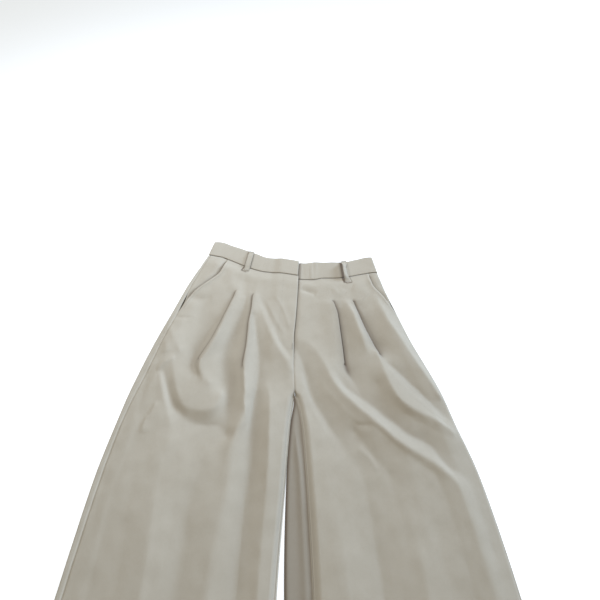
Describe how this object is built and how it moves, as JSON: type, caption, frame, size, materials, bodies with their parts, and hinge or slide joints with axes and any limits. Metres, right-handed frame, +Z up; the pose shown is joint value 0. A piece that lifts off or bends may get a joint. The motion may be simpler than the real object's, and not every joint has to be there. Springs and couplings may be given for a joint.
{
  "type": "wide-leg trousers",
  "caption": "Light beige high-waisted wide-leg trousers with pleated fronts, slant pockets, fly and belt loops, laid flat with the front up.",
  "frame": {"origin": "on the surface the garment lies on, under the middle of its outline seen from above", "axes": "+Y from the hems towards the waist, +Z up from the surface out of the garment's front, +X towards the wearer's left"},
  "size_m": [0.6543, 1.0503, 0.016],
  "materials": {
    "cloth": "fine plain twill in light beige, with a soft low sheen",
    "zip": "woven zip tape, closed",
    "hook": "satin"
  },
  "bodies": {
    "root": {"front_right": "cloth", "front_left": "cloth", "back_right": "cloth", "back_left": "cloth", "pocket_facing_right": "cloth", "pocket_facing_left": "cloth", "waistband_front_right": "cloth", "waistband_front_left": "cloth", "waistband_back": "cloth", "belt_loop_front_right": "cloth", "belt_loop_front_left": "cloth", "belt_loop_back_right": "cloth", "belt_loop_back_left": "cloth", "belt_loop_back_centre": "cloth", "fly_zip": "zip", "waist_hook": "hook"}
  },
  "joints": []
}
